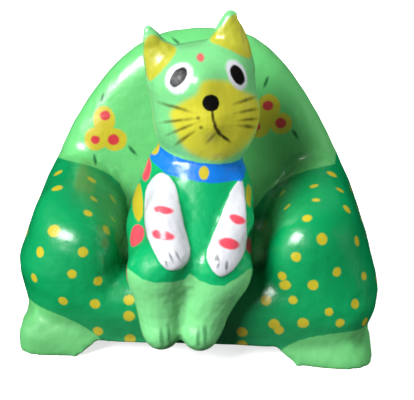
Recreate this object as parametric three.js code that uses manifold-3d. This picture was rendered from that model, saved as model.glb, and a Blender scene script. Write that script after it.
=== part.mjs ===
// A small painted wooden cat on an armchair: two carvings, the armchair in one block and the cat in another,
// which sits on the seat with its lower legs hanging over the front edge.
// Millimetres. +Z is up, the front faces -Y, and the origin is on the ground under the middle of the whole.
import * as THREE from "three";
import { mergeVertices } from "three/addons/utils/BufferGeometryUtils.js";
import Module from "manifold-3d";

const wasm = await Module();
wasm.setup();

// The armchair
const CHAIR_WIDTH = 126;
const CHAIR_DEPTH = 80;
const BACK_HEIGHT = 101;
const BULGE_HEIGHT = 24; // where the sides are widest
const SEAT_HEIGHT = 29;
const SEAT_WIDTH = 49; // between the arms
const SEAT_OFFSET = -1; // the seat was cut a little to one side
const HAND_SLANT = 0.05; // what is cut by hand sits lower on the right, for each millimetre across
const ARM_HEIGHT = 46; // inner edge of an arm, at the front
const ARM_SLOPE = 0.26; // rise for each millimetre outwards
const ARM_RISE = 5; // higher at the back by
const BACKREST_THICKNESS = 30; // at the seat
const BACKREST_LEAN = 0.1; // how far its front leans back for each millimetre up
const UNDERSIDE_HEIGHT = 5.6; // clear height below the seat
const UNDERSIDE_OFFSET = -2.5; // its cut too was made a little to one side
const FOOT_WIDTH = 25.5; // on the ground
const FOOT_DEPTH = 22;
const FOOT_SPLAY = 7; // how much wider a foot is at its top
const FOOT_INSET = 2; // feet inside the body's widest line
const WAIST_HEIGHT = 11; // groove around each foot, at the corner
const WAIST_DEPTH = 7; // on the sides
const WAIST_ABOVE = 8; // how far the groove runs out upwards
const WAIST_BELOW = 3.5;
const BELL_FLARE = 2.6; // power of the outline's curve across
const BELL_CROWN = 0.95; // and upwards
const BLEND = 5; // softness of the inner corners
const EDGE = 13; // roundness of the front edges
const BACK_EDGE = 25; // roundness of the arms' inner edges at the back
const CORNER = 26; // roundness of the upright corners
const FOOT_CORNER = 8;

// The cat
const CAT_HEIGHT = 86; // seat to the tip of the taller ear
const CAT_BACK = 22; // middle of the body, behind the front of the seat
const CAT_OFFSET = -2.5; // and to one side
const CAT_LEAN = 5; // degrees, the whole figure to its left
const BODY_TURN = 10; // degrees, body and head to the left
const HEAD_TILT = 13; // degrees, head back to the right
const REST_GAP = 0.3; // between the two carvings

// Facets
const CHAIR_CELL = 4.5;
const CAT_CELL = 2.9;
const EVENING_ROUNDS = 4;
const SHORTEST_EDGE = 0.02;

const { clamp, degToRad } = THREE.MathUtils;
const v3 = (x, y, z) => new THREE.Vector3(x, y, z);

// Forms are functions from a point to its distance from the surface, negative inside

function union(a, b, blend) {
  const near = Math.max(blend - Math.abs(a - b), 0) / blend;
  return Math.min(a, b) - (near * near * blend) / 4;
}

function overlap(a, b, blend) {
  return -union(-a, -b, blend);
}

function ellipsoid(centre, radii) {
  return (p) => {
    const q = p.clone().sub(centre).divide(radii);
    const near = q.length();
    return (near * (near - 1)) / Math.max(q.divide(radii).length(), 1e-9);
  };
}

function roundBox(centre, half, radius) {
  return (p) => {
    const x = Math.abs(p.x - centre.x) - half.x + radius;
    const y = Math.abs(p.y - centre.y) - half.y + radius;
    const z = Math.abs(p.z - centre.z) - half.z + radius;
    const outside = Math.hypot(Math.max(x, 0), Math.max(y, 0), Math.max(z, 0));
    return outside + Math.min(Math.max(x, y, z), 0) - radius;
  };
}

// A straight limb with a radius at each end
function limb(from, to, fromRadius, toRadius) {
  const along = to.clone().sub(from);
  return (p) => {
    const q = p.clone().sub(from);
    const t = clamp(q.dot(along) / along.lengthSq(), 0, 1);
    return q.addScaledVector(along, -t).length() - fromRadius - (toRadius - fromRadius) * t;
  };
}

function placed(form, matrix) {
  const inverse = matrix.clone().invert();
  return (p) => form(p.clone().applyMatrix4(inverse));
}

function joined(blend, ...forms) {
  return (p) => forms.reduce((d, form) => union(d, form(p), blend), Infinity);
}

const both = (make) => [-1, 1].map(make);

// A closed skin over a form: one vertex in each cell that the surface crosses, drawn onto the surface
function skin(form, box, cell) {
  const counts = box.getSize(v3(0, 0, 0)).divideScalar(cell).ceil().addScalar(1).toArray();
  const at = (g) => (g[2] * counts[1] + g[1]) * counts[0] + g[0];
  const place = (g) => v3(...g).multiplyScalar(cell).add(box.min);
  const moved = (g, axis, step) => g.with(axis, g[axis] + step);

  const grid = [];
  for (let k = 0; k < counts[2]; k++) {
    for (let j = 0; j < counts[1]; j++) {
      for (let i = 0; i < counts[0]; i++) grid.push([i, j, k]);
    }
  }
  const field = grid.map((g) => form(place(g)));
  const crosses = (a, b) => field[at(a)] < 0 !== field[at(b)] < 0;
  while (fillSaddles(grid, field, counts, at)) continue;

  const positions = [];
  const vertexOf = new Map();
  for (const g of grid.filter((g) => g.every((n, axis) => n < counts[axis] - 1))) {
    const crossings = [];
    for (const axis of [0, 1, 2]) {
      for (const [b, c] of [[0, 0], [1, 0], [0, 1], [1, 1]]) {
        const from = moved(moved(g, (axis + 1) % 3, b), (axis + 2) % 3, c);
        const to = moved(from, axis, 1);
        const share = field[at(from)] / (field[at(from)] - field[at(to)]);
        if (crosses(from, to)) crossings.push(place(from).lerp(place(to), share));
      }
    }
    if (crossings.length) {
      const middle = crossings.reduce((sum, c) => sum.add(c), v3(0, 0, 0)).divideScalar(crossings.length);
      vertexOf.set(at(g), positions.length / 3);
      positions.push(...drawnOnto(form, middle, cell).toArray());
    }
  }

  const index = [];
  const corner = (n) => v3(0, 0, 0).fromArray(positions, 3 * n);
  for (const g of grid.filter((g) => g.every((n, axis) => n > 0 && n < counts[axis] - 1))) {
    for (const axis of [0, 1, 2].filter((axis) => crosses(g, moved(g, axis, 1)))) {
      const ring = [[0, 0], [-1, 0], [-1, -1], [0, -1]].map(([b, c]) =>
        vertexOf.get(at(moved(moved(g, (axis + 1) % 3, b), (axis + 2) % 3, c))),
      );
      if (field[at(g)] >= 0) ring.reverse();
      const [a, b, c, d] = ring;
      const short = corner(a).distanceTo(corner(c)) < corner(b).distanceTo(corner(d));
      index.push(...(short ? [a, b, c, a, c, d] : [a, b, d, b, c, d]));
    }
  }
  evenOut(form, positions, index, cell);
  return new THREE.BufferGeometry()
    .setAttribute("position", new THREE.Float32BufferAttribute(positions, 3))
    .setIndex(index);
}

// A cell's side whose corners are inside and outside by turns would pinch the skin, so there the outside corner
// nearest to the surface is taken in. True while there was one.
function fillSaddles(grid, field, counts, at) {
  let found = false;
  for (const g of grid) {
    for (const [b, c] of [[0, 1], [1, 2], [2, 0]]) {
      if (g[b] + 1 >= counts[b] || g[c] + 1 >= counts[c]) continue;
      const nextB = g.with(b, g[b] + 1);
      const nextC = g.with(c, g[c] + 1);
      const corners = [g, nextB, nextB.with(c, g[c] + 1), nextC].map(at);
      const inside = corners.map((n) => field[n] < 0);
      if (inside[0] === inside[1] || inside[0] !== inside[2] || inside[1] !== inside[3]) continue;
      const outer = corners.filter((_, n) => !inside[n]).sort((m, n) => field[m] - field[n]);
      field[outer[0]] = -1e-3;
      found = true;
    }
  }
  return found;
}

// Spreads the vertices evenly over the surface
function evenOut(form, positions, index, cell) {
  const count = positions.length / 3;
  const neighbours = Array.from({ length: count }, () => new Set());
  for (let n = 0; n < index.length; n += 3) {
    const corners = index.slice(n, n + 3);
    for (const a of corners) corners.forEach((b) => b !== a && neighbours[a].add(b));
  }
  for (let round = 0; round < EVENING_ROUNDS; round++) {
    const middles = neighbours.map((near) => {
      const sum = v3(0, 0, 0);
      for (const n of near) sum.add(v3(0, 0, 0).fromArray(positions, 3 * n));
      return sum.divideScalar(near.size);
    });
    middles.forEach((middle, n) => {
      const p = v3(0, 0, 0).fromArray(positions, 3 * n).lerp(middle, 0.6);
      drawnOnto(form, p, cell).toArray(positions, 3 * n);
    });
  }
}

function drawnOnto(form, start, cell) {
  const step = 0.1 * cell;
  const axes = [v3(step, 0, 0), v3(0, step, 0), v3(0, 0, step)];
  const p = start.clone();
  for (let round = 0; round < 2; round++) {
    const slope = axes.map((a) => (form(p.clone().add(a)) - form(p.clone().sub(a))) / (2 * step));
    const way = v3(...slope);
    p.addScaledVector(way, -form(p) / Math.max(way.lengthSq(), 0.5));
  }
  return p.sub(start).clampLength(0, 0.4 * cell).add(start);
}

function solidFrom(geometry) {
  return new wasm.Manifold(
    new wasm.Mesh({
      numProp: 3,
      vertProperties: new Float32Array(geometry.attributes.position.array),
      triVerts: new Uint32Array(geometry.index.array),
    }),
  );
}

function closedSolid(geometry) {
  geometry.deleteAttribute("normal");
  geometry.deleteAttribute("uv");
  return solidFrom(mergeVertices(geometry));
}

// A cut solid's geometry, with the edges that a cut left too short to matter drawn together
function geometryFrom(solid) {
  const mesh = solid.getMesh();
  const positions = new Float32Array(mesh.vertProperties);
  const kept = Array.from({ length: positions.length / 3 }, (_, n) => n);
  const keptOf = (n) => (kept[n] === n ? n : keptOf(kept[n]));
  const corner = (n) => v3(0, 0, 0).fromArray(positions, 3 * n);
  const triangles = [];
  for (let n = 0; n < mesh.triVerts.length; n += 3) triangles.push([...mesh.triVerts.slice(n, n + 3)]);
  for (const [a, b, c] of triangles) {
    for (const [from, to] of [[a, b], [b, c], [c, a]]) {
      if (corner(from).distanceTo(corner(to)) < SHORTEST_EDGE) kept[keptOf(from)] = keptOf(to);
    }
  }
  const whole = triangles.map((t) => t.map(keptOf)).filter((t) => new Set(t).size === 3);
  return new THREE.BufferGeometry()
    .setAttribute("position", new THREE.BufferAttribute(positions, 3))
    .setIndex(whole.flat());
}

function block(low, high) {
  const size = high.clone().sub(low);
  return closedSolid(new THREE.BoxGeometry(...size.toArray()).translate(...low.lerp(high, 0.5).toArray()));
}

// Armchair

const FRONT = -CHAIR_DEPTH / 2;
const REAR = CHAIR_DEPTH / 2;

// The bell outline of the front view: straight flanks to a blunt dome, widest low down
function bellOutline(p) {
  const halfWidth = CHAIR_WIDTH / 2;
  const bulge = BULGE_HEIGHT - HAND_SLANT * p.x;
  const rise = BACK_HEIGHT - bulge;
  const across = Math.abs(p.x) / halfWidth;
  const up = Math.max((p.z - bulge) / rise, 0.02);
  const slopeAcross = (BELL_FLARE * across ** (BELL_FLARE - 1)) / halfWidth;
  const slopeUp = (BELL_CROWN * up ** (BELL_CROWN - 1)) / rise;
  return (across ** BELL_FLARE + up ** BELL_CROWN - 1) / Math.hypot(slopeAcross, slopeUp);
}

// The groove that parts the body from a foot: high at the outer corner, running down to the foot's inner side
function waist(p) {
  const inward = Math.max(CHAIR_WIDTH / 2 - Math.abs(p.x), 0) + Math.max(CHAIR_DEPTH / 2 - Math.abs(p.y), 0);
  const along = clamp(inward / (FOOT_WIDTH + FOOT_SPLAY), 0, 1);
  const height = (WAIST_HEIGHT - HAND_SLANT * p.x) * Math.sqrt(1 - 0.75 * along ** 2);
  const above = p.z - height;
  const groove = WAIST_DEPTH * Math.exp(-((above / (above > 0 ? WAIST_ABOVE : WAIST_BELOW)) ** 2));
  return (1 - 0.8 * along) * (groove + FOOT_INSET * clamp(1 - above / WAIST_HEIGHT, 0, 1));
}

function armsAndSeat(p) {
  const across = Math.abs(p.x - SEAT_OFFSET);
  const back = clamp((p.y - FRONT) / (CHAIR_DEPTH - BACKREST_THICKNESS), 0, 1);
  const armTop = ARM_HEIGHT + ARM_SLOPE * (across - SEAT_WIDTH / 2) + ARM_RISE * back;
  const recess = union(SEAT_WIDTH / 2 - across, p.z - SEAT_HEIGHT, BLEND);
  return overlap(p.z - armTop, recess, EDGE + (BACK_EDGE - EDGE) * back);
}

function armchairForm(p) {
  const corner = FOOT_CORNER + (CORNER - FOOT_CORNER) * clamp((p.z - WAIST_HEIGHT) / WAIST_HEIGHT, 0, 1);
  const sides = overlap(bellOutline(p), FRONT - p.y, corner);
  const outer = overlap(sides, p.y - REAR, corner) + waist(p);
  const backrest = REAR - BACKREST_THICKNESS + BACKREST_LEAN * (p.z - SEAT_HEIGHT) - p.y;
  const upper = union(armsAndSeat(p), backrest, BLEND);
  return Math.max(overlap(outer, upper, EDGE), -p.z - CHAIR_CELL);
}

// A tunnel under the seat, with sloping sides, between two feet that stand a given way apart
function tunnel(apart, length) {
  const outline = new THREE.Shape([
    new THREE.Vector2(-apart / 2 - FOOT_SPLAY, -UNDERSIDE_HEIGHT),
    new THREE.Vector2(apart / 2 + FOOT_SPLAY, -UNDERSIDE_HEIGHT),
    new THREE.Vector2(apart / 2 - FOOT_SPLAY, UNDERSIDE_HEIGHT),
    new THREE.Vector2(-apart / 2 + FOOT_SPLAY, UNDERSIDE_HEIGHT),
  ]);
  const bar = new THREE.ExtrudeGeometry(outline, { depth: length, bevelEnabled: false });
  return bar.translate(0, 0, -length / 2).rotateX(Math.PI / 2);
}

function armchair() {
  const margin = 2 * CHAIR_CELL;
  const box = new THREE.Box3(
    v3(-CHAIR_WIDTH / 2 - margin, FRONT - margin, -margin),
    v3(CHAIR_WIDTH / 2 + margin, REAR + margin, BACK_HEIGHT + margin),
  );
  const ground = block(v3(-CHAIR_WIDTH, -CHAIR_DEPTH, -CHAIR_WIDTH), v3(CHAIR_WIDTH, CHAIR_DEPTH, 0));
  const widthways = tunnel(CHAIR_DEPTH - 2 * FOOT_DEPTH, 2 * CHAIR_WIDTH).rotateZ(Math.PI / 2);
  const lengthways = tunnel(CHAIR_WIDTH - 2 * FOOT_WIDTH, 2 * CHAIR_DEPTH).translate(UNDERSIDE_OFFSET, 0, 0);
  const under = ground.add(closedSolid(widthways)).add(closedSolid(lengthways));
  return geometryFrom(solidFrom(skin(armchairForm, box, CHAIR_CELL)).subtract(under));
}

// Cat: shares of its height, from the seat under the middle of its body, facing -Y

const share = (x, y, z) => v3(x, y, z).multiplyScalar(CAT_HEIGHT);
const ofHeight = (amount) => amount * CAT_HEIGHT;

function legs() {
  return both((side) => {
    const hip = share(side * 0.12, 0, 0.1);
    const knee = share(side * 0.113, -0.3, 0.07);
    const heel = share(side * 0.076, -0.325, -0.145 + side * 0.006);
    const toe = share(side * 0.074, -0.36, -0.17 + side * 0.006);
    return joined(
      ofHeight(0.03),
      limb(hip, knee, ofHeight(0.125), ofHeight(0.118)),
      limb(knee, heel, ofHeight(0.118), ofHeight(0.08)),
      limb(heel, toe, ofHeight(0.078), ofHeight(0.062)),
    );
  });
}

function torso() {
  return joined(
    ofHeight(0.12),
    ellipsoid(share(0, 0, 0.12), share(0.24, 0.2, 0.24)),
    ellipsoid(share(0, -0.03, 0.33), share(0.19, 0.175, 0.2)),
    limb(share(0, -0.07, 0.25), share(0, -0.26, 0.1), ofHeight(0.175), ofHeight(0.135)),
  );
}

function arms() {
  return both((side) => {
    const shoulder = share(side * 0.125, -0.14, 0.37);
    const elbow = share(side * 0.13, -0.23, 0.26);
    const paw = share(side * 0.09, -0.365, 0.14);
    return joined(
      ofHeight(0.06),
      limb(shoulder, elbow, ofHeight(0.045), ofHeight(0.062)),
      limb(elbow, paw, ofHeight(0.062), ofHeight(0.064)),
    );
  });
}

function ear(side) {
  const stretch = new THREE.Matrix4().makeScale(1, 0.75, 1);
  const root = share(side * 0.115, 0.02, 0.12);
  const tip = share(side * 0.165, 0.02, 0.285 + side * 0.02);
  return placed(limb(root, tip, ofHeight(0.1), ofHeight(0.03)), stretch);
}

function head() {
  const skull = roundBox(share(0, 0.01, 0.01), share(0.203, 0.17, 0.2), ofHeight(0.15));
  const jaw = ellipsoid(share(0, -0.03, -0.09), share(0.182, 0.155, 0.205));
  const bridge = limb(share(0, -0.1, 0.1), share(0, -0.15, -0.03), ofHeight(0.05), ofHeight(0.055));
  return joined(ofHeight(0.03), joined(ofHeight(0.06), skull, jaw, bridge), ...both(ear));
}

function turnBy(x, y, z) {
  return new THREE.Matrix4().makeRotationFromEuler(new THREE.Euler(degToRad(x), degToRad(y), degToRad(z)));
}

// Turned about its upright middle, more and more from the seat to the neck
function twisted(form) {
  return (p) => {
    const turn = degToRad(BODY_TURN) * clamp(p.z / ofHeight(0.35), 0, 1);
    return form(p.clone().applyAxisAngle(v3(0, 0, 1), -turn));
  };
}

function catForm() {
  const headPlace = new THREE.Matrix4()
    .makeTranslation(share(-0.008, -0.02, 0.68))
    .multiply(turnBy(0, -HEAD_TILT, 0));
  const parts = [torso(), ...arms(), ...legs(), placed(head(), headPlace)];
  return twisted(joined(ofHeight(0.03), ...parts));
}

// The seat and the front under it, with the gap that the figure keeps to them
function rest(p) {
  return Math.max(p.z - SEAT_HEIGHT - REST_GAP, FRONT - REST_GAP - p.y);
}

function cat() {
  const seat = v3(CAT_OFFSET, FRONT + CAT_BACK, SEAT_HEIGHT + REST_GAP);
  const place = new THREE.Matrix4().makeTranslation(seat).multiply(turnBy(0, CAT_LEAN, 0));
  const figure = placed(catForm(), place);
  const reach = ofHeight(0.55);
  const box = new THREE.Box3(
    seat.clone().sub(v3(0.7 * reach, reach, SEAT_HEIGHT)),
    seat.clone().add(v3(0.9 * reach, 0.6 * reach, 2.1 * reach)),
  );
  return skin((p) => Math.max(figure(p), -rest(p)), box, CAT_CELL);
}

function carving(name, geometry, color) {
  const material = new THREE.MeshStandardMaterial({ color, roughness: 0.3, metalness: 0 });
  const mesh = new THREE.Mesh(geometry, material);
  mesh.name = name;
  return mesh;
}

const group = new THREE.Group();
group.add(carving("armchair", armchair(), 0x18a060));
group.add(carving("cat", cat(), 0x2cc87a));

// The ground under the middle of the whole becomes the origin
const middle = new THREE.Box3().setFromObject(group, true).getCenter(v3(0, 0, 0));
group.position.set(-middle.x, -middle.y, 0);

export default group;
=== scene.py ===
"""A painted wooden cat that sits on an armchair.

Both carvings get a fine skin with their last carving marks, hand-painted and varnished. Lengths are in
millimetres until a mesh is written, and places read from the photograph are pixels of its 414 x 400 frame.
"""
import logging
import math
from dataclasses import dataclass, field
from enum import Enum

import bmesh
import bpy
import numpy as np
from mathutils import Matrix, Vector, noise
from mathutils.bvhtree import BVHTree


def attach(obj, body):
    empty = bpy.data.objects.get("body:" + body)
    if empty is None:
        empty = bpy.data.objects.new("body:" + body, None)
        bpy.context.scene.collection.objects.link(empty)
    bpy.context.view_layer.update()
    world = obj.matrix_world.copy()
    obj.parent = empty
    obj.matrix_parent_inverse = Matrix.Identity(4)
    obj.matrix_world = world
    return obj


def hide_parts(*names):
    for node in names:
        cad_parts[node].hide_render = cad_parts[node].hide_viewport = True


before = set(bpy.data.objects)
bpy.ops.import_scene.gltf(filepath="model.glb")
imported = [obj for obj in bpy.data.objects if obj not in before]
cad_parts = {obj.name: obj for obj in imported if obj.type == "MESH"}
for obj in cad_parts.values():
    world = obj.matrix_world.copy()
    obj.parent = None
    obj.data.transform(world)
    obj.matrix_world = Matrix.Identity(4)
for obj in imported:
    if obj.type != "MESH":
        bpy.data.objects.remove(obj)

log = logging.getLogger("cat_on_armchair")

MM = 0.001
PHOTO_WIDTH = 414
PHOTO_HEIGHT = 400
SENSOR = 36.0
SEED = 7

# Smoothing pulls a point towards its neighbours, and sanding then pushes it back a little further.
RELAX = 0.5
PUSH_BACK = 0.52
CREASE_ROUNDS = 24

# A place read from the photograph is searched for this far around its pixel, in these steps.
SEARCH_REACH = 16
SEARCH_STRIDE = 0.5
SEARCH_TURN = math.pi / 6

# A point is looked at from a little above the surface.
LIFT = 0.4

# A patch ends where the surface turns away from the lens: how fast, and where.
RIM_SLOPE = 6.0
RIM_EDGE = 1.2
HIDDEN = -2.0

# Spots strewn by hand keep between these shares of their spacing.
SPACING_SHARES = (0.9, 1.25)

# How a noise is stretched along the axes: not at all, into the paint's streaks, into the brush's marks.
EVEN = (1, 1, 1)
STREAKED = (1, 1, 7)
BRUSHED = (1, 1, 6)

WELD = 1e-6

Pixel = tuple[float, float]
Level = bpy.types.NodeSocket | float


def paint(red: int, green: int, blue: int) -> tuple[float, float, float, float]:
    """A paint's linear colour from its screen colour, 0 to 255."""
    shares = (channel / 255 for channel in (red, green, blue))
    return (*((s / 12.92 if s <= 0.04045 else ((s + 0.055) / 1.055) ** 2.4) for s in shares), 1.0)


class Paint(Enum):
    """The pots of paint that the two carvings share."""

    LIGHT_GREEN = paint(93, 182, 105)
    PALE_GREEN = paint(110, 192, 122)
    EMERALD = paint(0, 137, 77)
    COAT = paint(0, 156, 90)
    YELLOW = paint(178, 164, 34)
    MUZZLE = paint(192, 188, 48)
    EAR = paint(170, 170, 48)
    PINK = paint(204, 66, 84)
    RED = paint(184, 46, 54)
    BLUE = paint(8, 108, 200)
    WHITE = paint(192, 195, 200)
    LEAF = paint(0, 84, 44)
    OLIVE = paint(66, 62, 12)
    GREY = paint(92, 94, 96)
    BLACK = paint(14, 13, 12)


@dataclass(frozen=True)
class Viewpoint:
    """Where the photograph was taken from, fitted to the carvings' outline."""

    azimuth: float = 2.8
    elevation: float = 21.4
    roll: float = 0.2
    distance: float = 460.0
    target: tuple[float, float, float] = (0.0, -2.7, 46.6)
    focal: float = 1322.0
    middle: Pixel = (198.0, 202.0)
    nearest: float = 10.0

    def axes(self) -> np.ndarray:
        """The picture's own directions.

        Returns:
            Unit vectors to the right, up and forward, one a row.
        """
        turn, tilt, roll = (math.radians(a) for a in (self.azimuth, self.elevation, self.roll))
        forward = (-math.sin(turn) * math.cos(tilt), math.cos(turn) * math.cos(tilt), -math.sin(tilt))
        level = np.array((math.cos(turn), math.sin(turn), 0.0))
        upright = np.cross(level, forward)
        right = level * math.cos(roll) + upright * math.sin(roll)
        return np.array((right, upright * math.cos(roll) - level * math.sin(roll), forward))

    def eye(self) -> np.ndarray:
        """The place of the lens."""
        return np.array(self.target) - self.axes()[2] * self.distance

    def pixels(self, points: np.ndarray) -> np.ndarray:
        """Where points show in the picture.

        Args:
            points: Places, one a row.

        Returns:
            Pixels across and down, one pair a row.
        """
        across, up, away = self.axes() @ (points - self.eye()).T
        scale = self.focal / away
        return np.stack((self.middle[0] + scale * across, self.middle[1] - scale * up), axis=1)

    def ray(self, pixel: Pixel) -> np.ndarray:
        """The direction in which a pixel looks.

        Args:
            pixel: A place in the photograph.

        Returns:
            A unit vector.
        """
        across = (pixel[0] - self.middle[0]) / self.focal
        up = (self.middle[1] - pixel[1]) / self.focal
        way = np.array((across, up, 1.0)) @ self.axes()
        return way / np.linalg.norm(way)

    def millimetres(self, pixels: float) -> float:
        """How long a number of pixels is at the carvings."""
        return pixels * self.distance / self.focal

    def make_camera(self) -> None:
        """Sets the scene's camera up at this viewpoint."""
        camera = bpy.data.objects.new("camera", bpy.data.cameras.new("camera"))
        bpy.context.scene.collection.objects.link(camera)
        right, up, forward = self.axes()
        turned = Matrix((right, up, -forward)).transposed().to_4x4()
        camera.matrix_world = Matrix.Translation(Vector(self.eye() * MM)) @ turned
        camera.data.sensor_width = SENSOR
        camera.data.lens = SENSOR * self.focal / PHOTO_WIDTH
        camera.data.shift_x = (PHOTO_WIDTH / 2 - self.middle[0]) / PHOTO_WIDTH
        camera.data.shift_y = (self.middle[1] - PHOTO_HEIGHT / 2) / PHOTO_WIDTH
        camera.data.clip_start = self.nearest * MM
        bpy.context.scene.camera = camera


VIEW = Viewpoint()


def step(value: np.ndarray, width: float) -> np.ndarray:
    """A soft step from 0 to 1 as a signed distance passes zero, over a width."""
    t = np.clip(value / width + 0.5, 0, 1)
    return t * t * (3 - 2 * t)


def rounded(corners: tuple[Pixel, ...], per_side: int = 8) -> np.ndarray:
    """A closed brush outline through a few corners.

    Args:
        corners: Its corners, in order.
        per_side: How many points make each side.

    Returns:
        The outline's points, one a row.
    """
    ring = np.array(corners, float)
    before, after, next_but_one = (np.roll(ring, n, axis=0) for n in (1, -1, -2))
    t = (np.arange(per_side) / per_side)[:, None, None]
    curve = 0.5 * (
        2 * ring
        + (after - before) * t
        + (2 * before - 5 * ring + 4 * after - next_but_one) * t**2
        + (3 * ring - before - 3 * after + next_but_one) * t**3
    )
    return curve.transpose(1, 0, 2).reshape(-1, 2)


def inside(points: np.ndarray, outline: np.ndarray) -> np.ndarray:
    """How far points lie inside a closed outline, negative outside.

    Args:
        points: Points, one a row.
        outline: The outline's points, one a row.

    Returns:
        The signed distances.
    """
    nearest = np.full(len(points), np.inf)
    odd = np.zeros(len(points), bool)
    for a, b in zip(outline, np.roll(outline, -1, axis=0)):
        side = b - a
        along = np.clip((points - a) @ side / max(side @ side, 1e-9), 0, 1)
        nearest = np.minimum(nearest, np.linalg.norm(points - a - along[:, None] * side, axis=1))
        if a[1] != b[1]:
            spans = (a[1] > points[:, 1]) != (b[1] > points[:, 1])
            odd ^= spans & (points[:, 0] < a[0] + (points[:, 1] - a[1]) * side[0] / side[1])
    return np.where(odd, nearest, -nearest)


@dataclass(frozen=True)
class Tug:
    """A soft pull on a carving, placed by the photograph: how far it reaches and which way it goes."""

    place: Pixel
    reach: float
    way: tuple[float, float, float]


@dataclass
class Skin:
    """A carving's fine surface: its points, their normals and the edges between them."""

    piece: bpy.types.Object
    points: np.ndarray = field(init=False)
    normals: np.ndarray = field(init=False)
    edges: np.ndarray = field(init=False)
    neighbours: np.ndarray = field(init=False)
    tree: BVHTree = field(init=False)

    def __post_init__(self) -> None:
        """Reads the mesh."""
        mesh = self.piece.data
        self.points = self._read(mesh.vertices, "co") / MM
        self.edges = np.empty(len(mesh.edges) * 2, np.int32)
        mesh.edges.foreach_get("vertices", self.edges)
        self.edges = self.edges.reshape(-1, 2)
        self.neighbours = np.bincount(self.edges.ravel(), minlength=len(self.points))[:, None]
        self.settle()

    @staticmethod
    def _read(items: bpy.types.bpy_prop_collection, name: str) -> np.ndarray:
        """One vector for each vertex of a mesh.

        Args:
            items: The vertices.
            name: Which of their vectors.

        Returns:
            The vectors, one a row.
        """
        values = np.empty(len(items) * 3)
        items.foreach_get(name, values)
        return values.reshape(-1, 3)

    def settle(self) -> None:
        """Writes the points to the mesh and reads their normals back."""
        mesh = self.piece.data
        mesh.vertices.foreach_set("co", (self.points * MM).ravel())
        mesh.update()
        self.normals = self._read(mesh.vertices, "normal")
        polygons = [tuple(p.vertices) for p in mesh.polygons]
        self.tree = BVHTree.FromPolygons([Vector(p) for p in self.points], polygons)

    def around(self, values: np.ndarray) -> np.ndarray:
        """Each point's mean over its neighbours.

        Args:
            values: Numbers for each point, one row a point.

        Returns:
            The means, in the same rows.
        """
        first, second = self.edges.T
        total = np.zeros_like(values)
        for axis in range(values.shape[1]):
            total[:, axis] += np.bincount(first, values[second, axis], len(values))
            total[:, axis] += np.bincount(second, values[first, axis], len(values))
        return total / self.neighbours

    def softened(self, values: np.ndarray, rounds: int) -> np.ndarray:
        """Values smoothed over the surface.

        Args:
            values: Numbers for each point, one row a point.
            rounds: How often each is drawn towards its neighbours' mean.

        Returns:
            The smooth numbers, in the same rows.
        """
        for _ in range(rounds):
            values = values + RELAX * (self.around(values) - values)
        return values

    def sand(self, rounds: int) -> None:
        """Takes the facets out of the surface without shrinking it.

        Args:
            rounds: How often it is rubbed over.
        """
        for _ in range(rounds):
            self.points += RELAX * (self.around(self.points) - self.points)
            self.points -= PUSH_BACK * (self.around(self.points) - self.points)
        self.settle()

    def carve(self, heights: np.ndarray) -> None:
        """Moves each point out along its normal by its height."""
        self.points += self.normals * heights[:, None]
        self.settle()

    def reshape(self, tugs: tuple[Tug, ...]) -> None:
        """Pulls the surface softly.

        Args:
            tugs: The pulls.
        """
        moves = np.zeros_like(self.points)
        for tug in tugs:
            gaps = ((self.points - self.struck(tug.place)) ** 2).sum(axis=1)
            moves += np.exp(-gaps / (2 * tug.reach**2))[:, None] * tug.way
        self.points += moves
        self.settle()

    def struck(self, pixel: Pixel) -> np.ndarray:
        """The place on the surface that shows at a pixel, or else near it.

        Args:
            pixel: A place in the photograph.

        Returns:
            The place.

        Raises:
            ValueError: If nothing shows near it either.
        """
        eye = Vector(VIEW.eye())
        for spread in np.arange(0, SEARCH_REACH, SEARCH_STRIDE):
            for turn in np.arange(0, 2 * math.pi, SEARCH_TURN):
                near = (pixel[0] + spread * math.cos(turn), pixel[1] + spread * math.sin(turn))
                place = self.tree.ray_cast(eye, Vector(VIEW.ray(near)))[0]
                if place is not None:
                    return np.array(place)
        raise ValueError(f"nothing shows at pixel {pixel}")

    def facing(self) -> np.ndarray:
        """How squarely each point faces the lens, from -1 to 1."""
        to_eye = VIEW.eye() - self.points
        return np.einsum("ij,ij->i", self.normals, to_eye) / np.linalg.norm(to_eye, axis=1)

    def seen(self) -> np.ndarray:
        """Which points the lens sees past the rest of this carving.

        Returns:
            Whether each point is seen.
        """
        eye = Vector(VIEW.eye())
        open_view = np.zeros(len(self.points), bool)
        for n in np.flatnonzero(self.facing() > 0):
            start = Vector(self.points[n] + LIFT * self.normals[n])
            open_view[n] = self.tree.ray_cast(start, eye - start)[0] is None
        return open_view

    def patch(self, corners: tuple[Pixel, ...]) -> np.ndarray:
        """How far each point lies inside a painted patch.

        Args:
            corners: The patch's corners in the photograph, in order.

        Returns:
            The signed distances.
        """
        flat = VIEW.millimetres(1.0) * inside(VIEW.pixels(self.points), rounded(corners))
        shown = np.where(self.seen(), self.facing() * RIM_SLOPE + RIM_EDGE, HIDDEN)
        return np.minimum(flat, shown)

    def near(self, places: np.ndarray, radius: float, spread: float = 0.0) -> np.ndarray:
        """How far each point lies inside the nearest of some round spots.

        Args:
            places: The middles of the spots, one a row.
            radius: Their usual radius.
            spread: By which share the radius differs from spot to spot.

        Returns:
            The signed distances.
        """
        deepest = np.full(len(self.points), -np.inf)
        shares = np.random.default_rng(SEED).uniform(-spread, spread, len(places))
        for place, share in zip(places, shares):
            gap = ((self.points - place) ** 2).sum(axis=1)
            size = radius * (1 + share)
            deepest = np.maximum(deepest, (size**2 - gap) / (2 * size))
        return deepest

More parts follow.
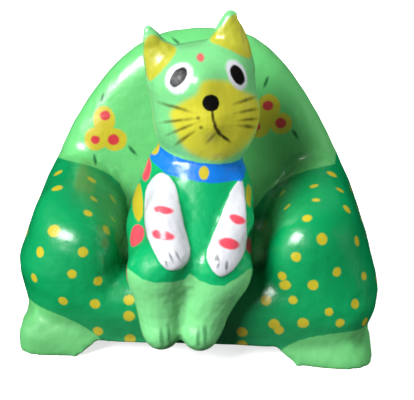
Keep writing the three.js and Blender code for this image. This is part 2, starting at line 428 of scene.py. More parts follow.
    def strewn(self, free: np.ndarray, apart: float, taken: np.ndarray) -> np.ndarray:
        """Places spread by hand over a part of the surface.

        Args:
            free: Which points may carry a spot.
            apart: How far apart the spots stay.
            taken: Spots that are there already, one a row.

        Returns:
            The new places, one a row.
        """
        choice = np.random.default_rng(SEED)
        spots = list(taken)
        for n in choice.permutation(np.flatnonzero(free)):
            gaps = np.linalg.norm(np.array(spots) - self.points[n], axis=1)
            if gaps.min() > apart * choice.uniform(*SPACING_SHARES):
                spots.append(self.points[n])
        return np.array(spots[len(taken):])

    def note(self, name: str, values: np.ndarray) -> None:
        """Keeps a number for each point, for the paint to read."""
        layer = self.piece.data.attributes.new(name, "FLOAT", "POINT")
        layer.data.foreach_set("value", values.astype(np.float32))

    def note_creases(self) -> None:
        """Keeps how deep each point lies in a crease, negative on an edge; the paint reads it for painted
        shade.
        """
        away = self.softened(self.points, CREASE_ROUNDS) - self.points
        self.note("crease", np.einsum("ij,ij->i", away, self.normals))

    def unevenness(self, size: float, height: float, seed: int) -> np.ndarray:
        """Soft rises and hollows that a knife leaves.

        Args:
            size: Their width.
            height: Their height.
            seed: Which pattern it is.

        Returns:
            A height for each point.
        """
        shift = Vector((seed, 2 * seed, 3 * seed))
        return height * np.array([noise.noise(Vector(p) / size + shift) for p in self.points])


@dataclass(frozen=True)
class Dab:
    """One touch of the brush: a long round mark, placed by the photograph.

    Its length and width are pixels from its middle to its edge, and its depth is in millimetres.
    """

    place: Pixel
    length: float
    width: float
    angle: float = 0.0
    depth: float = 5.0


def stroke(start: Pixel, end: Pixel, width: float) -> Dab:
    """A thin mark from one pixel to another.

    Args:
        start: Where it starts.
        end: Where it ends.
        width: How far its middle line is from its edge.

    Returns:
        The mark.
    """
    (x0, y0), (x1, y1) = start, end
    middle = ((x0 + x1) / 2, (y0 + y1) / 2)
    return Dab(middle, math.hypot(x1 - x0, y1 - y0) / 2, width, math.degrees(math.atan2(y0 - y1, x1 - x0)))


@dataclass(frozen=True)
class Brushwork:
    """How paint and varnish lie: sizes and heights in millimetres, the rest as shares."""

    waver_size: float = 2.2
    waver: float = 0.55
    cloud_size: float = 9.0
    cloud: float = 0.14
    streak_size: float = 1.1
    streak: float = 0.1
    # Painted shade: how much the paint is darkened in creases, where shade falls.
    painted_crease_shade: float = 0.55
    bristle_size: float = 0.9
    bristle_height: float = 0.04
    swell_size: float = 4.2
    swell_height: float = 0.25
    dull_size: float = 4.0
    dull_spread: float = 0.2
    dullness: float = 0.28
    gloss: float = 0.5
    gloss_blur: float = 0.19
    # How much darker the paint is made towards the bottom.
    darkening_low_down: float = 0.25
    worn_dullness: float = 0.3


class Finish:
    """A painted and varnished finish, built up coat by coat."""

    def __init__(self, name: str, ground: Paint, skin: Skin, work: Brushwork = Brushwork()) -> None:
        """Starts with the ground coat.

        Args:
            name: The finish's name.
            ground: The paint that covers the whole piece.
            skin: The surface that it lies on.
            work: How the paint and the varnish lie.
        """
        self.material = bpy.data.materials.new(name)
        self.material.use_nodes = True
        self.tree = self.material.node_tree
        self.shader = self.tree.nodes["Principled BSDF"]
        self.skin = skin
        self.work = work
        self.place = self.add("ShaderNodeTexCoord").outputs["Object"]
        self.colour = self.add("ShaderNodeRGB").outputs[0]
        self.colour.default_value = ground.value
        uneven = self.calc("SUBTRACT", self.grain(work.waver_size), 0.5)
        self.waver = self.calc("MULTIPLY", uneven, work.waver)
        blotches = self.calc("MULTIPLY", self.grain(work.dull_size, detail=3.0), work.dull_spread)
        self.dullness = self.calc("ADD", work.dullness, blotches)

    def add(self, kind: str, **settings: object) -> bpy.types.Node:
        """A new node.

        Args:
            kind: What kind of node it is.
            **settings: Its settings.

        Returns:
            The node.
        """
        node = self.tree.nodes.new(kind)
        for name, value in settings.items():
            setattr(node, name, value)
        return node

    def feed(self, socket: bpy.types.NodeSocket, value: Level) -> None:
        """Sets a socket to a number or links it to another socket.

        Args:
            socket: The socket.
            value: The number or the other socket.
        """
        if isinstance(value, bpy.types.NodeSocket):
            self.tree.links.new(value, socket)
        else:
            socket.default_value = value

    def calc(self, operation: str, *values: Level) -> bpy.types.NodeSocket:
        """The result of one sum.

        Args:
            operation: What kind of sum it is.
            *values: What goes into it.

        Returns:
            The result.
        """
        node = self.add("ShaderNodeMath", operation=operation)
        for socket, value in zip(node.inputs, values):
            self.feed(socket, value)
        return node.outputs[0]

    def grain(
        self, size: float, stretch: tuple[float, float, float] = EVEN, detail: float = 2.0
    ) -> bpy.types.NodeSocket:
        """A noise from 0 to 1.

        Args:
            size: The size of its marks, in millimetres.
            stretch: How much longer they are along each axis.
            detail: How many finer marks they carry.

        Returns:
            The noise.
        """
        mapping = self.add("ShaderNodeMapping")
        self.feed(mapping.inputs["Vector"], self.place)
        mapping.inputs["Scale"].default_value = [1 / (size * MM * share) for share in stretch]
        texture = self.add("ShaderNodeTexNoise")
        self.feed(texture.inputs["Vector"], mapping.outputs[0])
        self.feed(texture.inputs["Scale"], 1.0)
        self.feed(texture.inputs["Detail"], detail)
        return texture.outputs["Fac"]

    def noted(self, name: str) -> bpy.types.NodeSocket:
        """A number that the skin keeps for each point."""
        return self.add("ShaderNodeAttribute", attribute_name=name).outputs["Fac"]

    def cover(self, depth: bpy.types.NodeSocket, softness: float = 0.25) -> bpy.types.NodeSocket:
        """How much paint lies on the surface, with a wavering hand-painted edge.

        Args:
            depth: How far a point lies inside the painted part.
            softness: Over how many millimetres the edge fades.

        Returns:
            The coverage, from 0 to 1.
        """
        node = self.add("ShaderNodeMapRange", interpolation_type="SMOOTHSTEP")
        self.feed(node.inputs["Value"], self.calc("ADD", depth, self.waver))
        self.feed(node.inputs["From Min"], -softness)
        self.feed(node.inputs["From Max"], softness)
        return node.outputs["Result"]

    def dab(self, mark: Dab) -> bpy.types.NodeSocket:
        """How far a point lies inside one touch of the brush.

        Args:
            mark: The touch.

        Returns:
            The signed distance, in millimetres.
        """
        length, width = VIEW.millimetres(mark.length), VIEW.millimetres(mark.width)
        right, up, _ = VIEW.axes()
        turn = math.radians(mark.angle)
        along = right * math.cos(turn) + up * math.sin(turn)
        over = up * math.cos(turn) - right * math.sin(turn)
        axes = Matrix((along, over, np.cross(along, over))).transposed()
        mapping = self.add("ShaderNodeMapping", vector_type="TEXTURE")
        self.feed(mapping.inputs["Vector"], self.place)
        mapping.inputs["Location"].default_value = self.skin.struck(mark.place) * MM
        mapping.inputs["Rotation"].default_value = axes.to_euler()
        mapping.inputs["Scale"].default_value = (length * MM, width * MM, mark.depth * MM)
        node = self.add("ShaderNodeVectorMath", operation="LENGTH")
        self.feed(node.inputs[0], mapping.outputs[0])
        return self.calc("MULTIPLY", self.calc("SUBTRACT", 1.0, node.outputs["Value"]), min(length, width))

    def brush(self, colour: Paint, coverage: bpy.types.NodeSocket, strength: float = 1.0) -> None:
        """Lays a colour over what is there.

        Args:
            colour: The paint.
            coverage: Where it lies, from 0 to 1.
            strength: How well it covers.
        """
        mix = self.add("ShaderNodeMix", data_type="RGBA")
        self.feed(mix.inputs["Factor"], self.calc("MULTIPLY", coverage, strength))
        self.feed(mix.inputs["A"], self.colour)
        mix.inputs["B"].default_value = colour.value
        self.colour = mix.outputs["Result"]

    def dabs(
        self, colour: Paint, marks: tuple[Dab, ...], strength: float = 1.0, softness: float = 0.25
    ) -> None:
        """Lays several touches of one colour.

        Args:
            colour: The paint.
            marks: The touches.
            strength: How well the paint covers.
            softness: Over how many millimetres their edges fade.
        """
        nearest = self.dab(marks[0])
        for mark in marks[1:]:
            nearest = self.calc("MAXIMUM", nearest, self.dab(mark))
        self.brush(colour, self.cover(nearest, softness), strength)

    def tint(self, factor: bpy.types.NodeSocket) -> None:
        """Darkens or lightens the paint.

        Args:
            factor: By which its colour is multiplied.
        """
        node = self.add("ShaderNodeMix", data_type="RGBA", blend_type="MULTIPLY")
        self.feed(node.inputs["Factor"], 1.0)
        self.feed(node.inputs["A"], self.colour)
        shade = self.add("ShaderNodeCombineColor")
        for socket in shade.inputs:
            self.feed(socket, factor)
        self.feed(node.inputs["B"], shade.outputs[0])
        self.colour = node.outputs["Result"]

    def mottle(self, pattern: bpy.types.NodeSocket, amount: float) -> None:
        """Lightens and darkens the paint after a pattern, by up to half an amount either way."""
        self.tint(self.calc("ADD", 1 - amount / 2, self.calc("MULTIPLY", pattern, amount)))

    def darken(self, where: bpy.types.NodeSocket, amount: float) -> None:
        """Darkens the paint by an amount where a level is 1."""
        self.tint(self.calc("SUBTRACT", 1.0, self.calc("MULTIPLY", where, amount)))

    def varnish(self) -> bpy.types.Material:
        """Ends with the unevenness of the paint, painted shade in the creases and an even coat of varnish.

        Returns:
            The finished material.
        """
        work = self.work
        self.mottle(self.grain(work.cloud_size, detail=3.0), work.cloud)
        self.mottle(self.grain(work.streak_size, STREAKED), work.streak)
        # Painted shade: the paint is darkened where the surface lies in a crease.
        self.darken(self.calc("MAXIMUM", self.noted("crease"), 0.0), work.painted_crease_shade)
        bristles = self.calc("MULTIPLY", self.grain(work.bristle_size, BRUSHED), work.bristle_height)
        swells = self.calc("MULTIPLY", self.grain(work.swell_size), work.swell_height)
        bump = self.add("ShaderNodeBump")
        self.feed(bump.inputs["Height"], self.calc("ADD", bristles, swells))
        self.feed(bump.inputs["Distance"], MM)
        self.feed(bump.inputs["Strength"], 1.0)
        self.feed(self.shader.inputs["Normal"], bump.outputs[0])
        self.feed(self.shader.inputs["Base Color"], self.colour)
        self.feed(self.shader.inputs["Roughness"], self.dullness)
        self.feed(self.shader.inputs["Coat Weight"], work.gloss)
        self.feed(self.shader.inputs["Coat Roughness"], work.gloss_blur)
        return self.material

    def rub(self, wear: bpy.types.NodeSocket) -> None:
        """Rubs the varnish dull and makes the paint a little darker low down.

        Args:
            wear: How much, from 0 to 1.
        """
        # The paint is made darker towards the bottom.
        self.darken(wear, self.work.darkening_low_down)
        dull = self.calc("ADD", self.dullness, self.calc("MULTIPLY", wear, self.work.worn_dullness))
        gloss = self.calc("MULTIPLY", self.calc("SUBTRACT", 1.0, wear), self.work.gloss)
        self.feed(self.shader.inputs["Base Color"], self.colour)
        self.feed(self.shader.inputs["Roughness"], dull)
        self.feed(self.shader.inputs["Coat Weight"], gloss)


@dataclass
class Carving:
    """One block of wood, carved, sanded, painted and varnished.

    Its voxel is the size of the skin's facets, and each knife mark is a width and a height, in millimetres.
    """

    node: str
    slot: str
    voxel: float
    sanding: int
    knife_marks: tuple[tuple[float, float], ...]

    def rough_out(self) -> Skin:
        """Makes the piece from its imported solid, as one fine even skin.

        Returns:
            The skin, flat where the solid stands on the ground.
        """
        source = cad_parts[self.node]
        mesh = source.data.copy()
        shape = bmesh.new()
        shape.from_mesh(mesh)
        bmesh.ops.remove_doubles(shape, verts=shape.verts, dist=WELD)
        shape.to_mesh(mesh)
        shape.free()
        rough = bpy.data.objects.new(f"{self.node}_rough", mesh)
        bpy.context.scene.collection.objects.link(rough)
        modifier = rough.modifiers.new("skin", "REMESH")
        modifier.mode = "VOXEL"
        modifier.voxel_size = self.voxel * MM
        graph = bpy.context.evaluated_depsgraph_get()
        fine = bpy.data.meshes.new_from_object(rough.evaluated_get(graph))
        bpy.data.objects.remove(rough)
        fine.name = f"{self.node}_skin"
        fine.materials.clear()
        fine.shade_smooth()
        piece = bpy.data.objects.new(f"{self.node}_carving", fine)
        bpy.context.scene.collection.objects.link(piece)
        skin = Skin(piece)
        flat = skin.points[:, 2] < 0.5 * self.voxel
        skin.sand(self.sanding)
        skin.points[flat & (skin.points[:, 2] < self.voxel), 2] = 0
        skin.points[:, 2] = np.maximum(skin.points[:, 2], 0)
        skin.settle()
        return skin

    def marks_left(self, skin: Skin) -> np.ndarray:
        """How high the last carving marks stand at each point."""
        marks = (skin.unevenness(*mark, n * SEED) for n, mark in enumerate(self.knife_marks, start=1))
        return sum(marks)

    def install(self, skin: Skin, material: bpy.types.Material) -> bpy.types.Object:
        """Puts the finished piece in its solid's place.

        Args:
            skin: Its surface.
            material: Its finish.

        Returns:
            The piece.
        """
        skin.note_creases()
        skin.piece.data.materials.append(material)
        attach(skin.piece, "root")
        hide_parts(self.node)
        return skin.piece


@dataclass
class Armchair(Carving):
    """The armchair: light green back and feet, emerald arms and seat front strewn with yellow dots."""

    node: str = "armchair"
    slot: str = "armchair_paint"
    voxel: float = 0.75
    sanding: int = 60
    knife_marks: tuple[tuple[float, float], ...] = ((16, 0.28), (6, 0.1))
    back_edge: tuple[Pixel, ...] = (
        (50, 156), (59, 158), (78, 163), (90, 166), (101, 170), (112, 176), (120, 184), (126, 197),
        (128, 210), (128, 235), (254, 235), (254, 209), (269, 190), (285, 179), (308, 170), (335, 164),
        (338, 153), (350, 150), (380, 60), (200, -20), (20, 60),
    )
    left_dots: tuple[Pixel, ...] = (
        (58, 173), (57, 188), (92, 180), (94, 199), (88, 213), (113, 199), (113, 219), (107, 230),
        (40, 252), (83, 252), (34, 278), (72, 274), (98, 281), (63, 301), (95, 304), (98, 331), (129, 316),
        (130, 339), (129, 300),
    )
    right_dots: tuple[Pixel, ...] = (
        (332, 174), (314, 186), (340, 190), (282, 193), (316, 200), (287, 207), (347, 209), (307, 218),
        (322, 239), (357, 241), (267, 240), (296, 257), (337, 272), (364, 276), (282, 276), (313, 285),
        (293, 300), (355, 304), (329, 312), (303, 323), (340, 323), (365, 322), (274, 324), (279, 330),
        (242, 332), (266, 300), (242, 345), (211, 345),
    )
    dot_radius: float = 1.72
    dot_spread: float = 0.16
    large_dots: tuple[Dab, ...] = (Dab((54, 231), 6.6, 6.0), Dab((285, 285), 5.2, 4.6))
    petals: tuple[Dab, ...] = (
        Dab((104, 120), 14.5, 11.5, 90), Dab((95.5, 139), 12, 12), Dab((114.5, 139.5), 13, 12),
        Dab((105, 132), 10, 9), Dab((269, 107), 13.5, 11.5, 100), Dab((281, 123.5), 11.5, 11),
        Dab((258, 126), 12.5, 12), Dab((268, 119), 10, 9),
    )
    hearts: tuple[Dab, ...] = (
        Dab((105, 115.5), 5.4, 5.0), Dab((95.5, 139.7), 4.8, 4.4), Dab((113.6, 139.7), 6.0, 5.6),
        Dab((267.7, 105.7), 5.4, 5.0), Dab((280.5, 123), 5.8, 5.4), Dab((255, 126.5), 5.4, 5.0),
    )
    leaves: tuple[Dab, ...] = (
        Dab((102, 99), 5.5, 1.6, 75), Dab((95, 160), 5.5, 1.6, 100), Dab((132, 150), 5.5, 1.6, -50),
        Dab((266, 82), 5.5, 1.6, 70), Dab((295, 134), 5.5, 1.6, -55), Dab((176, 41), 5.5, 1.6, -45),
    )
    tugs: tuple[Tug, ...] = (
        Tug((200, 34), 16, (0, 0, 1.1)), Tug((262, 48), 10, (-0.3, 0, 0.9)),
        Tug((95, 100), 18, (-1.0, 0, 0.6)), Tug((70, 150), 14, (-0.9, 0, 0)),
        Tug((305, 105), 18, (-0.5, 0, 0.2)), Tug((345, 362), 13, (0, -4.4, 0)),
        Tug((45, 196), 8, (0, -3.0, 1.2)), Tug((302, 216), 8, (0.2, -2.8, 1.3)),
        Tug((368, 293), 11, (1.5, 0, 0)), Tug((345, 200), 9, (0.8, 0, 0.3)),
    )
    front_depth: float = 28.0
    front_fade: float = 14.0
    front_rounds: int = 12
    side_boundary: float = 54.5
    side_lean: float = 0.025
    rear_sag: float = 10.0
    rear_half: float = 50.0
    rear_depth: float = 30.0
    rear_fade: float = 20.0
    seat_middle: float = 4.0
    foot_height: float = 15.5
    foot_lean: float = 0.05
    foot_reach: float = 36.0
    half_width: float = 63.0
    half_depth: float = 40.0
    middle_depth: float = 7.6
    wear_height: float = 15.0
    spacing: float = 11.0
    dots_off_green: float = 2.5
    dots_turned: float = 0.1
    dots_above: float = 10.0
    dots_tilt: float = -0.5

    def green_back(self, skin: Skin) -> np.ndarray:
        """How far each point lies inside the light green of the back.

        The photograph gives the edge in front. Elsewhere it runs level, and sags in the middle of the rear.

        Args:
            skin: The armchair's surface.

        Returns:
            The signed distances.
        """
        x, y, z = skin.points.T
        shown = inside(VIEW.pixels(skin.points), np.array(self.back_edge)) * VIEW.millimetres(1.0)
        across = np.clip(1 - (x / self.rear_half) ** 2, 0, 1)
        sag = self.rear_sag * across * step(y - self.rear_depth, self.rear_fade)
        level = z - (self.side_boundary + self.side_lean * x - sag)
        front = skin.softened(skin.seen()[:, None].astype(float), self.front_rounds)[:, 0]
        front *= step(self.front_depth - y, self.front_fade)
        return np.minimum(front * shown + (1 - front) * level, y - self.seat_middle)

    def green_feet(self, skin: Skin) -> np.ndarray:
        """How far each point lies inside the light green of the feet, round on top.

        Args:
            skin: The armchair's surface.

        Returns:
            The signed distances.
        """
        x, y, z = skin.points.T
        inward = np.maximum(self.half_width - np.abs(x), 0)
        inward += np.maximum(self.half_depth - np.abs(y - self.middle_depth), 0)
        arch = np.sqrt(np.maximum(1 - (inward / self.foot_reach) ** 2, 0))
        return (self.foot_height - self.foot_lean * x) * arch - z

    def all_dots(self, skin: Skin, green: np.ndarray) -> np.ndarray:
        """The places of the dots: those in the photograph, and others where it doesn't reach.

        Args:
            skin: The armchair's surface.
            green: How far each point lies inside the light green.

        Returns:
            The places, one a row.
        """
        shown = np.array([skin.struck(p) for p in self.left_dots + self.right_dots])
        free = (green < -self.dots_off_green) & (skin.facing() < self.dots_turned)
        free &= (skin.normals[:, 2] > self.dots_tilt) & (skin.points[:, 2] > self.dots_above)
        return np.vstack((shown, skin.strewn(free, self.spacing, shown)))

    def make(self) -> bpy.types.Object:
        """Builds and dresses the armchair.

        Returns:
            The finished piece.
        """
        skin = self.rough_out()
        skin.reshape(self.tugs)
        skin.carve(self.marks_left(skin))
        green = np.maximum(self.green_back(skin), self.green_feet(skin))
        skin.note("green", green)
        # Below this height the varnish is rubbed dull and the paint made darker.
        skin.note("worn", step(self.wear_height - skin.points[:, 2], self.wear_height))
        skin.note("dots", skin.near(self.all_dots(skin, green), self.dot_radius, self.dot_spread))
        finish = Finish(self.slot, Paint.EMERALD, skin)
        finish.brush(Paint.YELLOW, finish.cover(finish.noted("dots"), softness=0.35))
        finish.dabs(Paint.YELLOW, self.large_dots, softness=0.35)
        finish.brush(Paint.LIGHT_GREEN, finish.cover(finish.noted("green")))
        finish.dabs(Paint.YELLOW, self.petals, softness=0.4)
        finish.dabs(Paint.RED, self.hearts, softness=0.35)
        finish.dabs(Paint.LEAF, self.leaves, strength=0.85, softness=0.35)
        material = finish.varnish()
        finish.rub(finish.noted("worn"))
        return self.install(skin, material)


@dataclass
class Cat(Carving):
    """The cat: a light green head and legs, an emerald coat with a blue collar, and white forearms."""

    node: str = "cat"
    slot: str = "cat_paint"
    voxel: float = 0.45
    sanding: int = 26
    knife_marks: tuple[tuple[float, float], ...] = ((9, 0.15), (3.5, 0.05))
    left_ear: tuple[Pixel, ...] = (
        (151, 35), (163, 41), (176, 48), (170, 61), (150, 81), (145, 62), (144, 46),
    )
    right_ear: tuple[Pixel, ...] = (
        (235, 14), (222, 26), (210, 40), (228, 49), (250, 58), (249, 36), (243, 22),
    )
    muzzle: tuple[Pixel, ...] = (
        (203, 82), (217, 80), (233, 83), (243, 91), (255, 97), (262, 115), (256, 132), (244, 148),
        (228, 158), (211, 160), (194, 155), (184, 147), (177, 134), (172, 121), (171, 111), (183, 102),
        (196, 94),
    )
    left_forearm: tuple[Pixel, ...] = (
        (161, 173), (148, 186), (145, 208), (147, 232), (154, 251), (163, 266), (173, 270), (186, 264),
        (190, 250), (184, 226), (179, 202), (174, 183),
    )
    right_forearm: tuple[Pixel, ...] = (
        (241, 180), (245, 200), (246, 222), (246, 243), (241, 258), (232, 270), (220, 276), (210, 266),
        (207, 253), (212, 238), (219, 221), (226, 203), (232, 189),
    )
    coat_edge: tuple[Pixel, ...] = (
        (120, 262), (127, 268), (142, 279), (155, 283), (173, 282), (185, 279), (190, 273), (200, 281),
        (211, 285), (224, 286), (239, 277), (247, 270), (262, 262), (270, 120), (110, 120),
    )
    hem_turn: float = 0.1
    hem_rounds: int = 16
    seat_level: float = 29.5
    collar_line: tuple[Pixel, ...] = ((153.5, 148), (171, 163), (193, 171), (215, 173), (240, 166.5))
    collar_half: float = 2.6
    tugs: tuple[Tug, ...] = (
        Tug((149, 38), 5.0, (-0.8, 0, 0.2)), Tug((145, 56), 5.0, (-0.3, 0, 0)),
        Tug((150, 31), 2.5, (0.2, 0, 0.5)), Tug((241, 12), 3.0, (-1.4, 0, -0.5)),
        Tug((245, 27), 4.0, (-0.5, 0, 0)), Tug((221, 28), 4.0, (-0.9, 0, 0.4)),
        Tug((134, 212), 11.0, (-1.5, 0, 0)), Tug((158, 150), 5.0, (-2.0, 0, 0.3)),
        Tug((199, 74), 4.5, (0, -2.0, 0.2)), Tug((200, 90), 4.5, (0, -1.7, 0)),
    )
    ear_tips: tuple[Pixel, ...] = ((149, 34),)
    tip_reach: float = 3.4
    tip_swell: float = 0.7
    forearm_height: float = 0.5
    forearm_round: float = 1.6
    ear_hollow: float = 0.35
    ear_rim: float = 1.5
    ear_slope: float = 3.0
    spot_radius: float = 3.3
    spot_spacing: float = 13.0
    spots_above: float = 4.0
    eye_whites: tuple[Dab, ...] = (Dab((178.5, 77.5), 16, 14, 60), Dab((237.5, 74.5), 15, 9.5, -62))
    pupils: tuple[Dab, ...] = (Dab((178.4, 77), 10.5, 6.5, 50), Dab((237.7, 75), 10, 6, -60))
    nose: tuple[Dab, ...] = (Dab((211, 103), 7.8, 7.8),)
    brow_dot: tuple[Dab, ...] = (Dab((200.5, 57.6), 4.5, 3.5, 90),)
    mouth: tuple[Dab, ...] = (
        stroke((211.5, 108), (214, 125), 1.4), stroke((213.5, 120), (216.5, 131), 1.8),
        stroke((215, 127), (221.5, 136.5), 2.0), stroke((218.5, 133.5), (230, 141.5), 1.5),
    )
    whiskers: tuple[Dab, ...] = (
        stroke((162, 103), (187, 111), 1.3), stroke((160, 122), (191, 119.5), 1.2),
        stroke((168, 134), (192, 125), 1.2), stroke((176, 144), (192, 133), 1.5),
        stroke((236, 104), (256, 96), 1.4), stroke((239, 113), (258, 108), 1.2),
        stroke((239, 121), (258, 118), 1.2), stroke((240, 126), (256, 127), 1.7),
        stroke((215, 134), (207.5, 142), 1.1),
    )
    freckles: tuple[Dab, ...] = (Dab((198, 118), 1.6, 1.4), Dab((201, 127.5), 1.6, 1.4))
    stripes: tuple[Dab, ...] = (
        Dab((163, 210), 9.5, 3.6, -8), Dab((162, 235), 12, 4.6, -12),
        Dab((237.6, 219.5), 8, 4, -20), Dab((229.5, 243.7), 10.5, 5, -12),
    )
    pink_spots: tuple[Dab, ...] = (
        Dab((146, 168.5), 12.5, 6, 92, 7), Dab((136.5, 236), 12.5, 9.5, 110, 7),
        Dab((248.5, 246), 9, 5, 80, 7),
    )
    yellow_spots: tuple[Dab, ...] = (Dab((137, 200), 20.5, 7, 98, 7), Dab((249, 196), 13, 4, 85, 7))
    studs: tuple[Dab, ...] = (Dab((204, 173), 6.5, 4.8, 90), Dab((155.3, 147), 8.5, 5.5, 82))
    paw_claws: tuple[Dab, ...] = (
        stroke((163.5, 256), (166.5, 264), 0.9), stroke((169, 253), (173, 262), 0.9),
        stroke((175.5, 252), (180, 260), 1.0), stroke((216.5, 255), (217.5, 267), 2.4),
        stroke((227, 261), (226, 271), 1.5),
    )
    foot_claws: tuple[Dab, ...] = (
        stroke((161, 329), (162, 346), 1.9), stroke((168.5, 327), (169, 343), 1.4),
        stroke((198, 329), (198, 346), 1.9), stroke((205, 327), (205, 343), 1.9),
    )

    def shape(self, skin: Skin, forearms: np.ndarray, ears: np.ndarray) -> None:
        """Raises the forearms, hollows the ears, swells the ear's tip and leaves the carving marks.

        Args:
            skin: The cat's surface.
            forearms: How far each point lies inside the forearms.
            ears: How far each point lies inside the ears' hollows.
        """
        relief = self.forearm_height * step(forearms, self.forearm_round)
        relief -= self.ear_hollow * step(ears - self.ear_rim, self.ear_slope)
        tips = skin.near(np.array([skin.struck(p) for p in self.ear_tips]), self.tip_reach)
        relief += self.tip_swell * step(tips, self.tip_reach)
        skin.carve(relief + self.marks_left(skin))

    def above_collar(self, skin: Skin) -> np.ndarray:
        """How far each point lies above the middle of the collar, which is a flat ring.

        Args:
            skin: The cat's surface.

        Returns:
            The signed distances.
        """
        line = np.array([skin.struck(p) for p in self.collar_line])
        middle = line.mean(axis=0)
        normal = np.linalg.svd(line - middle)[2][2]
        return (skin.points - middle) @ (normal * np.sign(normal[2]))

    def coat(self, skin: Skin, above: np.ndarray) -> np.ndarray:
        """How far each point lies inside the coat, below the collar and above the hem.

        Args:
            skin: The cat's surface.
            above: How far each point lies above the collar.

        Returns:
            The signed distances.
        """
        shown = inside(VIEW.pixels(skin.points), np.array(self.coat_edge)) * VIEW.millimetres(1.0)
        turned = (skin.facing() > self.hem_turn)[:, None].astype(float)
        front = skin.softened(turned, self.hem_rounds)[:, 0]
        hem = front * shown + (1 - front) * (skin.points[:, 2] - self.seat_level)
        return np.minimum(hem, -above)

    def rear_spots(self, skin: Skin, coat: np.ndarray) -> np.ndarray:
        """Places for spots on the part of the coat that the photograph doesn't show.

        Args:
            skin: The cat's surface.
            coat: How far each point lies inside the coat.

        Returns:
            The places, one a row.
        """
        marks = self.pink_spots + self.yellow_spots + self.stripes
        shown = np.array([skin.struck(mark.place) for mark in marks])
        free = (coat > self.spot_radius) & (skin.facing() < 0)
        free &= skin.points[:, 2] > self.seat_level + self.spots_above
        return skin.strewn(free, self.spot_spacing, shown)

    def paint_coat(self, finish: Finish) -> None:
        """Paints the ears, the muzzle, the spotted coat, the striped forearms and the collar.

        Args:
            finish: The cat's finish.
        """
        finish.brush(Paint.EAR, finish.cover(finish.noted("ears"), softness=0.5))
        finish.brush(Paint.MUZZLE, finish.cover(finish.noted("muzzle"), softness=1.4))
        finish.brush(Paint.COAT, finish.cover(finish.noted("coat")))
        finish.brush(Paint.PINK, finish.cover(finish.noted("pink")))
        finish.brush(Paint.YELLOW, finish.cover(finish.noted("yellow")))
        finish.dabs(Paint.PINK, self.pink_spots)
        finish.dabs(Paint.YELLOW, self.yellow_spots)
        finish.brush(Paint.WHITE, finish.cover(finish.noted("forearms")))
        finish.dabs(Paint.PINK, self.stripes, softness=0.35)
        finish.brush(Paint.BLUE, finish.cover(finish.noted("collar")))
        finish.dabs(Paint.YELLOW, self.studs)

    def paint_face(self, finish: Finish) -> None:
        """Paints the face and the claws.

        Args:
            finish: The cat's finish.
        """
        finish.dabs(Paint.WHITE, self.eye_whites, softness=0.6)
        finish.dabs(Paint.BLACK, self.pupils)
        finish.dabs(Paint.OLIVE, self.whiskers + self.freckles, strength=0.8, softness=0.5)
        finish.dabs(Paint.OLIVE, self.mouth, softness=0.35)
        finish.dabs(Paint.BLACK, self.nose)
        finish.dabs(Paint.PINK, self.brow_dot, strength=0.9, softness=0.45)
        finish.dabs(Paint.GREY, self.paw_claws, strength=0.8, softness=0.3)
        finish.dabs(Paint.LEAF, self.foot_claws, strength=0.6, softness=0.4)

    def make(self) -> bpy.types.Object:
        """Builds and dresses the cat.

        Returns:
            The finished piece.
        """
        skin = self.rough_out()
        skin.reshape(self.tugs)
        forearms = np.maximum(skin.patch(self.left_forearm), skin.patch(self.right_forearm))
        ears = np.maximum(skin.patch(self.left_ear), skin.patch(self.right_ear))
        self.shape(skin, forearms, ears)
        above = self.above_collar(skin)
        coat = self.coat(skin, above)
        spots = self.rear_spots(skin, coat)
        skin.note("coat", coat)
        skin.note("pink", skin.near(spots[::2], self.spot_radius))
        skin.note("yellow", skin.near(spots[1::2], self.spot_radius))
        skin.note("collar", self.collar_half - np.abs(above))
        skin.note("forearms", forearms)
        skin.note("ears", ears)
        skin.note("muzzle", skin.patch(self.muzzle))
        finish = Finish(self.slot, Paint.PALE_GREEN, skin)
        self.paint_coat(finish)
        self.paint_face(finish)
        return self.install(skin, finish.varnish())


@dataclass(frozen=True)
class Lamp:
    """A large soft light: its direction in degrees, its power in watts, and if the varnish mirrors it."""

    name: str
    turn: float
    height: float
    power: float
    mirrored: bool = False


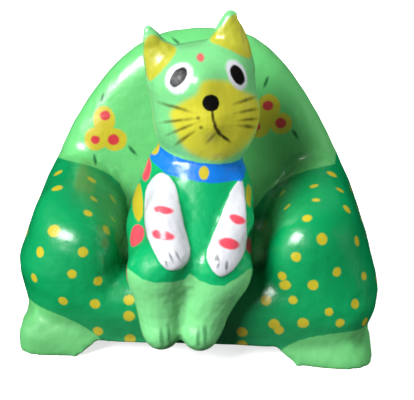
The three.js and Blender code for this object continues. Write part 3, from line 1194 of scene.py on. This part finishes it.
@dataclass
class Studio:
    """A pale floor, a window high on the left, and soft light from the right and the rear.

    Its lengths are in metres.
    """

    lamps: tuple[Lamp, ...] = (
        Lamp("window", -43.0, 34.0, 158.0, mirrored=True),
        Lamp("bounce", 98.0, 9.0, 52.0),
        Lamp("rear", 172.0, 38.0, 45.0),
    )
    lamp_distance: float = 2.7
    lamp_size: tuple[float, float] = (1.6, 1.2)
    lamp_aim: tuple[float, float, float] = (0, 0, 0.05)
    sky: float = 0.18
    backdrop: float = 0.95
    floor_size: float = 20.0
    floor_colour: tuple[float, float, float, float] = (0.93, 0.93, 0.93, 1)
    floor_roughness: float = 0.9
    floor_glow: float = 0.7

    def make_floor(self) -> None:
        """Lays the floor under the feet."""
        shape = bmesh.new()
        bmesh.ops.create_grid(shape, x_segments=1, y_segments=1, size=self.floor_size)
        mesh = bpy.data.meshes.new("floor")
        shape.to_mesh(mesh)
        shape.free()
        floor = bpy.data.objects.new("floor", mesh)
        bpy.context.scene.collection.objects.link(floor)
        material = bpy.data.materials.new("floor_white")
        material.use_nodes = True
        shader = material.node_tree.nodes["Principled BSDF"]
        shader.inputs["Base Color"].default_value = self.floor_colour
        shader.inputs["Roughness"].default_value = self.floor_roughness
        shader.inputs["Emission Color"].default_value = (1, 1, 1, 1)
        shader.inputs["Emission Strength"].default_value = self.floor_glow
        mesh.materials.append(material)
        floor.visible_glossy = False
        floor.visible_diffuse = False

    def make_sky(self) -> None:
        """Fills the room with a faint even light, before a backdrop as white as the floor."""
        world = bpy.data.worlds.new("room")
        world.use_nodes = True
        tree = world.node_tree
        light = tree.nodes["Background"]
        light.inputs["Color"].default_value = (1, 1, 1, 1)
        strength = tree.nodes.new("ShaderNodeMapRange")
        strength.inputs["To Min"].default_value = self.sky
        strength.inputs["To Max"].default_value = self.backdrop
        looked_at = tree.nodes.new("ShaderNodeLightPath").outputs["Is Camera Ray"]
        tree.links.new(looked_at, strength.inputs["Value"])
        tree.links.new(strength.outputs["Result"], light.inputs["Strength"])
        bpy.context.scene.world = world
        world.cycles_visibility.glossy = False

    def hang(self, lamp: Lamp) -> None:
        """Hangs one lamp, turned to the carvings.

        Args:
            lamp: The lamp.
        """
        data = bpy.data.lights.new(lamp.name, "AREA")
        data.shape = "RECTANGLE"
        data.size, data.size_y = self.lamp_size
        data.energy = lamp.power
        light = bpy.data.objects.new(lamp.name, data)
        bpy.context.scene.collection.objects.link(light)
        turn, height = math.radians(lamp.turn), math.radians(lamp.height)
        ahead = math.cos(height)
        way = Vector((math.sin(turn) * ahead, -math.cos(turn) * ahead, math.sin(height)))
        light.location = Vector(self.lamp_aim) + way * self.lamp_distance
        light.rotation_euler = (-way).to_track_quat("-Z", "Y").to_euler()
        light.visible_glossy = lamp.mirrored

    def make(self) -> None:
        """Sets up the floor and the light."""
        self.make_floor()
        self.make_sky()
        for lamp in self.lamps:
            self.hang(lamp)


def main() -> None:
    """Sets up the view, builds both carvings and lights them."""
    logging.basicConfig(level=logging.INFO, format="%(name)s: %(message)s")
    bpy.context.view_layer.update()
    bpy.context.scene.view_settings.view_transform = "Standard"
    VIEW.make_camera()
    for carving in (Armchair(), Cat()):
        piece = carving.make()
        log.info("%s: %d faces", piece.name, len(piece.data.polygons))
    Studio().make()


if __name__ == "__main__":
    main()
